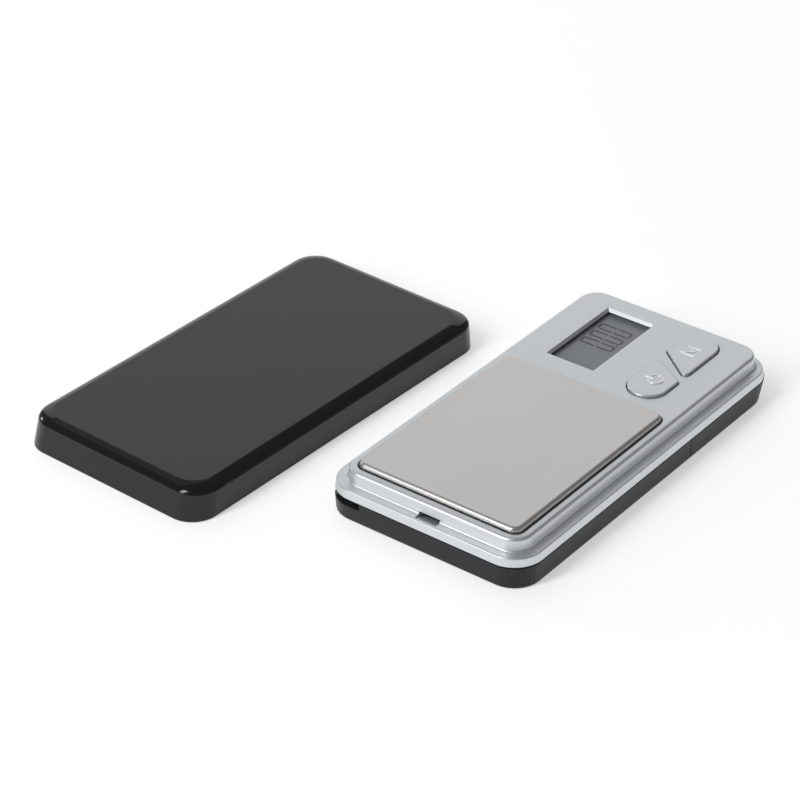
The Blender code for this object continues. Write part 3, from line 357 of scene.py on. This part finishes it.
def upper_housing():
    def around(inset, z, radius):
        return ring(-HALF_WIDTH + inset, HALF_WIDTH - inset, -HALF_LENGTH + inset, HALF_LENGTH - inset,
                    radius, z)

    def raised(out, z):
        """A ring of the raised top. The front fillet reaches out less than the sides', and the rear edge
        draws in less."""
        return ring(-PLATEAU_HALF - out, PLATEAU_HALF + out, PLATEAU_FRONT - min(out, out * FRONT_SHARE),
                    PLATEAU_REAR + max(out, out * REAR_SHARE), PLATEAU_CORNER + out, z)

    rings = [around(0.0, SEAM_TOP, CORNER), around(SEAM_EDGE[0], SEAM_TOP + SEAM_EDGE[1], CORNER)]
    for c, s in arc(5):
        inset = LEDGE_INSET + LEDGE_RIM * (1 - c)
        rings.append(around(inset, LEDGE_Z - LEDGE_RIM + LEDGE_RIM * s, CORNER - inset))
    rings += [raised(FILLET - FILLET * s - FILLET_TUCK, LEDGE_Z + FILLET * (1 - c))
              for c, s in arc(ROUND_STEPS)]
    rings += [raised(-FLANK_LEAN - PLATEAU_EDGE * (1 - c), PLATEAU_Z - PLATEAU_EDGE + PLATEAU_EDGE * s)
              for c, s in arc(ROUND_STEPS)]
    shell = loft("housing_shell", rings)
    inner = PLATEAU_HALF - WALL
    inner_corner = PLATEAU_CORNER - WALL
    rear_wall = PLATEAU_REAR - WALL
    carve(
        shell,
        block("skirt_hollow", -HALF_WIDTH + WALL, HALF_WIDTH - WALL, -HALF_LENGTH + WALL,
              HALF_LENGTH - WALL, 0, LEDGE_UNDER, CORNER - WALL),
        block("front_space", -inner, inner, PLATEAU_FRONT + WALL, RECESS[3] + 2 * WALL, 0,
              RECESS_FLOOR_UNDER, inner_corner),
        block("rear_space", -inner, inner, RECESS[3] + WALL, rear_wall, 0, ROOF_UNDER, inner_corner),
        flared("recess", recess_outline, RECESS_FLOOR),
        *window_cutters(),
        flared("power_opening", lambda grow: key_outline(False, KEY_GAP + grow), SEAM_TOP),
        flared("mode_opening", lambda grow: key_outline(True, KEY_GAP + grow), SEAM_TOP),
        block("carrier_opening", *CARRIER_OPENING, SEAM_TOP, 2 * PLATEAU_Z, 1.0),
        block("front_slot", *SLOT, PLATEAU_FRONT - SLOT_OVERLAP, PLATEAU_FRONT + SLOT_DEPTH, *SLOT_Z),
        block("front_trough", *SLOT, PLATEAU_FRONT - TROUGH_REACH, PLATEAU_FRONT + SLOT_OVERLAP,
              TROUGH_Z, SLOT_Z[1]),
        block("rear_slot", *SLOT, rear_wall - 0.1, PLATEAU_REAR + REAR_SLOT_REACH, *SLOT_Z),
    )
    return shell


def press_on_cover():
    half_x, half_y = COVER_HALF
    wall_corner = COVER_CORNER - COVER_CORNER_TAPER

    def wall(t):
        """The outer ring at t, 0 at the rim and 1 where the shoulder starts."""
        side, front = COVER_LEAN_SIDE * t, COVER_LEAN_FRONT * t
        return ring(-half_x + side, half_x - side, -half_y + front, half_y - side,
                    COVER_CORNER - COVER_CORNER_TAPER * t, COVER_WALL_TOP * t)

    def shoulder(c, s, shrink=0.0, drop=0.0):
        """A ring of the rounded shoulder, or of the same shape shrunk and dropped for the inside."""
        side = COVER_LEAN_SIDE + COVER_SHOULDER * (1 - c) + shrink
        front = COVER_LEAN_FRONT + COVER_FRONT_SHOULDER * (1 - c) + shrink
        radius = wall_corner - (wall_corner - COVER_TOP_CORNER) * (1 - c) - shrink / 2
        z = COVER_WALL_TOP + (COVER_TOP - COVER_WALL_TOP) * s - drop
        return ring(-half_x + side, half_x - side, -half_y + front, half_y - side, radius, z)

    def rim(inset, radius):
        return ring(-half_x + inset, half_x - inset, -half_y + inset, half_y - inset, radius, 0.0)

    inside = [shoulder(c, s, COVER_WALL, COVER_ROOF) for c, s in reversed(arc(ROUND_STEPS))]
    foot = [rim(COVER_WALL, COVER_CORNER - COVER_WALL / 2), rim(COVER_RIM_INSET, COVER_CORNER - 0.1)]
    bend = arc(SHOULDER_STEPS, 0.0, SHOULDER_SWEEP)
    last_c, last_s = bend[-1]
    outside = [wall(t) for t in (0.03, 0.5, 1.0)]
    outside += [shoulder(1 - (1 - c) / (1 - last_c), s / last_s) for c, s in bend[1:]]
    shell = loft("cover_shell", inside + foot + outside)
    move = Matrix.Translation(Vector((*COVER_PLACE, 0)) * MM)
    shell.data.transform(move @ Matrix.Rotation(COVER_YAW, 4, "Z"))
    return shell


def weighing_tray():
    x0, x1, y0, y1 = RECESS
    x0, x1, y0, y1 = x0 + TRAY_GAP, x1 - TRAY_GAP, y0 + TRAY_GAP, y1 - TRAY_GAP

    def at(inset, z):
        radius = max(RECESS_CORNER - TRAY_GAP - inset, TRAY_LEAST_CORNER)
        return ring(x0 + inset, x1 - inset, y0 + inset, y1 - inset, radius, z)

    under = TRAY_TOP - TRAY_SHEET
    inside = [at(TRAY_SHEET + TRAY_INNER_ROUND * (1 - c), under - TRAY_INNER_ROUND + TRAY_INNER_ROUND * s)
              for c, s in reversed(arc(4))]
    outside = [at(TRAY_ROUND * (1 - c), TRAY_TOP - TRAY_ROUND + TRAY_ROUND * s) for c, s in arc(10)]
    return loft("tray_pan", inside + [at(TRAY_SHEET, TRAY_BOTTOM), at(0.0, TRAY_BOTTOM)] + outside)


def key(name, rear):
    outline = [Vector(p) for p in key_outline(rear)]
    top = PLATEAU_Z + KEY_PROUD
    centre = sum(outline, Vector((0.0, 0.0))) / len(outline)

    def inward(amount):
        points = []
        for i, here in enumerate(outline):
            along = (outline[(i + 1) % len(outline)] - outline[i - 1]).normalized()
            normal = Vector((-along.y, along.x))
            if normal.dot(centre - here) < 0:
                normal = -normal
            points.append(here + normal * amount)
        return points

    rings = [[(*p, ROOF_UNDER + KEY_FOOT) for p in outline]]
    rings += [[(*p, top - KEY_ROUND + KEY_ROUND * s) for p in inward(KEY_ROUND * (1 - c))]
              for c, s in arc(5)]
    return loft(name, rings)


def power_sign():
    """An open ring with a short bar through its gap, which faces -X."""
    x, y = PILL_CENTRE[0] + 0.1, PILL_CENTRE[1] - SIGN_OFFSET
    sweep = 2 * math.pi - 2 * POWER_GAP
    angles = [math.pi + POWER_GAP + sweep * k / POWER_STEPS for k in range(POWER_STEPS + 1)]
    small, large = POWER_RING
    outer = [(x + large * math.cos(a), y + large * math.sin(a)) for a in angles]
    inner = [(x + small * math.cos(a), y + small * math.sin(a)) for a in reversed(angles)]
    near, distant = POWER_BAR
    half = POWER_LINE / 2
    return [prism("power_mark", outer + inner, *SIGN_LEVELS),
            block("power_bar", x - distant, x - near, y - half, y + half, *SIGN_LEVELS)]


def mode_sign():
    """A capital M whose top is towards -X."""
    x, y = PILL_CENTRE[0], PILL_CENTRE[1] + SIGN_OFFSET
    half, edge = M_HEIGHT / 2, M_WIDTH / 2
    inner, arm = edge - M_LINE, M_LINE * 0.3
    shoulder, valley, notch = -half + M_SHOULDER, half * 0.5, half * 0.2
    right = [(-half, edge), (half, edge), (half, inner), (shoulder, inner), (valley, arm)]
    left = [(px, -py) for px, py in reversed(right)]
    top = [(-half, -edge + M_LINE * 0.9), (notch, 0.0), (-half, edge - M_LINE * 0.9)]
    return [prism("mode_mark", [(x + px, y + py) for px, py in reversed(right + left + top)], *SIGN_LEVELS)]


def digits():
    """Three seven-segment noughts and a point, read from the keys' side, tops towards -X."""
    levels = [GLASS_TOP + level for level in DIGIT_LEVELS]
    top, foot = DIGIT_TOP_X, DIGIT_TOP_X + DIGIT_HEIGHT
    middle = (top + foot) / 2
    bars = []
    for y in DIGIT_PLACES:
        sides = (y + DIGIT_SIDE_GAP, y + DIGIT_WIDTH - DIGIT_SIDE_GAP)
        bars += [(top, top + DIGIT_LINE, *sides), (foot - DIGIT_LINE, foot, *sides)]
        for side in (y, y + DIGIT_WIDTH - DIGIT_LINE):
            bars += [(top + DIGIT_END_GAP, middle - DIGIT_MIDDLE_GAP, side, side + DIGIT_LINE),
                     (middle + DIGIT_MIDDLE_GAP, foot - DIGIT_END_GAP, side, side + DIGIT_LINE)]
    bars.append((foot - DIGIT_LINE, foot, *POINT_PLACE))
    return [block(f"bar_{number}", *bar, *levels) for number, bar in enumerate(bars)]


def merge(name, pieces):
    """One object from several, whose shapes stay apart."""
    bm = bmesh.new()
    for piece in pieces:
        bm.from_mesh(piece.data)
    for piece in pieces:
        bpy.data.objects.remove(piece, do_unlink=True)
    return object_from(bm, name)


SILVER = material("silver_paint", (0.71, 0.74, 0.76), 0.42, 0.82, grain=9000.0, bump=0.01, spread=0.03)
MARK = material("silver_mark", (0.90, 0.91, 0.93), 0.3, 0.5, grain=9000.0, bump=0.01, spread=0.02)
BLACK = material("black_plastic", (0.017, 0.0165, 0.020), 0.36, grain=2500.0, bump=0.02,
                 Specular_IOR_Level=0.28)
GLOSS = material("gloss_black", (0.008, 0.008, 0.008), 0.08, grain=60.0, bump=0.004,
                 Specular_IOR_Level=0.40)
TRAY = brushed("satin_steel", (0.60, 0.59, 0.58), 0.34, (1.0, 0.02, 1.0))
STEEL = brushed("zinc_steel", (0.62, 0.62, 0.60), 0.32, (1.0, 1.0, 0.2))
BRIGHT = material("nickel_steel", (0.72, 0.72, 0.70), 0.22, 1.0, grain=300.0)
ALUMINIUM = brushed("aluminium", (0.77, 0.78, 0.79), 0.36, (1.0, 0.03, 1.0))
GREY = material("grey_plastic", (0.18, 0.18, 0.18), 0.5, grain=800.0)
LCD = material("display_glass", (0.215, 0.235, 0.25), 0.2, grain=90.0, bump=0.0, spread=0.12)
INK = material("display_ink", (0.035, 0.037, 0.036), 0.3, grain=300.0, bump=0.0)
WHITE = material("white_plastic", (0.8, 0.8, 0.78), 0.45, grain=700.0)
BOARD = material("board_green", (0.02, 0.16, 0.06), 0.35, grain=500.0)
RUBBER = material("connector_rubber", (0.35, 0.12, 0.14), 0.7, grain=900.0)
EPOXY = material("epoxy_black", (0.012, 0.012, 0.012), 0.4, grain=900.0)
GAUGE = material("gauge_film", (0.65, 0.42, 0.12), 0.3, grain=400.0)
BRASS = brushed("spring_brass", (0.8, 0.7, 0.45), 0.28, (0.05, 1.0, 1.0))
TAPE = material("foam_tape", (0.85, 0.85, 0.82), 0.8, grain=1500.0, bump=0.1)
WIRES = {
    "red": material("wire_red", (0.55, 0.02, 0.02), 0.4),
    "white": material("wire_white", (0.8, 0.8, 0.78), 0.4),
    "black": material("wire_black", (0.02, 0.02, 0.02), 0.4),
    "green": material("wire_green", (0.02, 0.3, 0.06), 0.4),
}
FLOOR = material("floor_white", (0.93, 0.93, 0.93), 0.9, grain=3.0, bump=0.0, spread=0.005,
                 Emission_Color=(1.0, 1.0, 1.0, 1.0), Emission_Strength=FLOOR_GLOW)

CARRIED = {
    "lower_housing": BLACK, "battery_cover": BLACK, "tray_carrier": GREY, "tray_tape": TAPE,
    "load_cell": ALUMINIUM, "load_cell_spacer": STEEL,
    "strain_gauge_top": GAUGE, "strain_gauge_bottom": GAUGE,
    "main_board": BOARD, "display_glass": LCD, "display_frame": WHITE, "display_connector": RUBBER,
    "power_switch": EPOXY, "mode_switch": EPOXY, "power_plunger": GREY, "mode_plunger": GREY,
    "controller_blob": EPOXY, "converter_chip": EPOXY, "crystal": BRIGHT, "coin_cell": BRIGHT,
    "contact_negative": BRASS, "contact_positive": BRASS,
}
for node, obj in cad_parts.items():
    mat = CARRIED.get(node)
    if "screw" in node:
        mat = STEEL
    elif node.startswith("gauge_wire"):
        mat = WIRES[node.rsplit("_", 1)[1]]
    if mat:
        obj.data.materials.clear()
        obj.data.materials.append(mat)


def place(piece, body, mat, slot, *nodes):
    """Gives a piece its material and lets it ride on a body in place of the nodes named. The slot argument is
    not used.
    """
    shade(piece, mat)
    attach(piece, body)
    if nodes:
        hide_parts(*nodes)


place(upper_housing(), "scale_body", SILVER, "silver_housing", "upper_housing")
place(press_on_cover(), "cover", GLOSS, "gloss_cover", "press_on_cover")
place(weighing_tray(), "platform", TRAY, "tray_steel", "weighing_tray")
place(key("power_cap", False), "power_button", SILVER, "silver_housing", "power_key")
place(key("mode_cap", True), "mode_button", SILVER, "silver_housing", "mode_key")
place(merge("power_sign", power_sign()), "power_button", MARK, "silver_housing")
place(merge("mode_sign", mode_sign()), "mode_button", MARK, "silver_housing")
place(merge("display_digits", digits()), "scale_body", INK, "display_glass")


def soft_light(name, direction, size, radiance):
    """A rectangular lamp that faces the object from the given direction."""
    light = bpy.data.lights.new(name, "AREA")
    light.shape = "RECTANGLE"
    light.size, light.size_y = size
    light.energy = radiance * math.pi * size[0] * size[1]
    away = Vector(direction).normalized() * LIGHT_DISTANCE
    obj = bpy.data.objects.new(name, light)
    obj.location = Vector(LIGHT_TARGET) + away
    obj.rotation_euler = (-away).to_track_quat("-Z", "Y").to_euler()
    bpy.context.scene.collection.objects.link(obj)


def studio():
    bm = bmesh.new()
    bmesh.ops.create_grid(bm, x_segments=1, y_segments=1, size=FLOOR_SIZE)
    floor = object_from(bm, "floor")
    floor.location.z = -FLOOR_DROP
    floor.data.materials.append(FLOOR)
    for name, (direction, size, radiance) in LIGHTS.items():
        soft_light(name, direction, size, radiance)
    world = bpy.data.worlds.new("studio")
    world.use_nodes = True
    world.node_tree.nodes["Background"].inputs["Color"].default_value = (1.0, 1.0, 1.0, 1.0)
    world.node_tree.nodes["Background"].inputs["Strength"].default_value = WORLD_STRENGTH
    bpy.context.scene.world = world
    camera = bpy.data.cameras.new("camera")
    camera.lens = CAMERA_LENS
    camera.sensor_width = SENSOR
    holder = bpy.data.objects.new("camera", camera)
    holder.location = CAMERA_PLACE
    holder.rotation_euler = (math.pi / 2 - CAMERA_PITCH, 0.0, CAMERA_YAW)
    bpy.context.scene.collection.objects.link(holder)
    bpy.context.scene.camera = holder
    bpy.context.scene.view_settings.view_transform = "Standard"


studio()
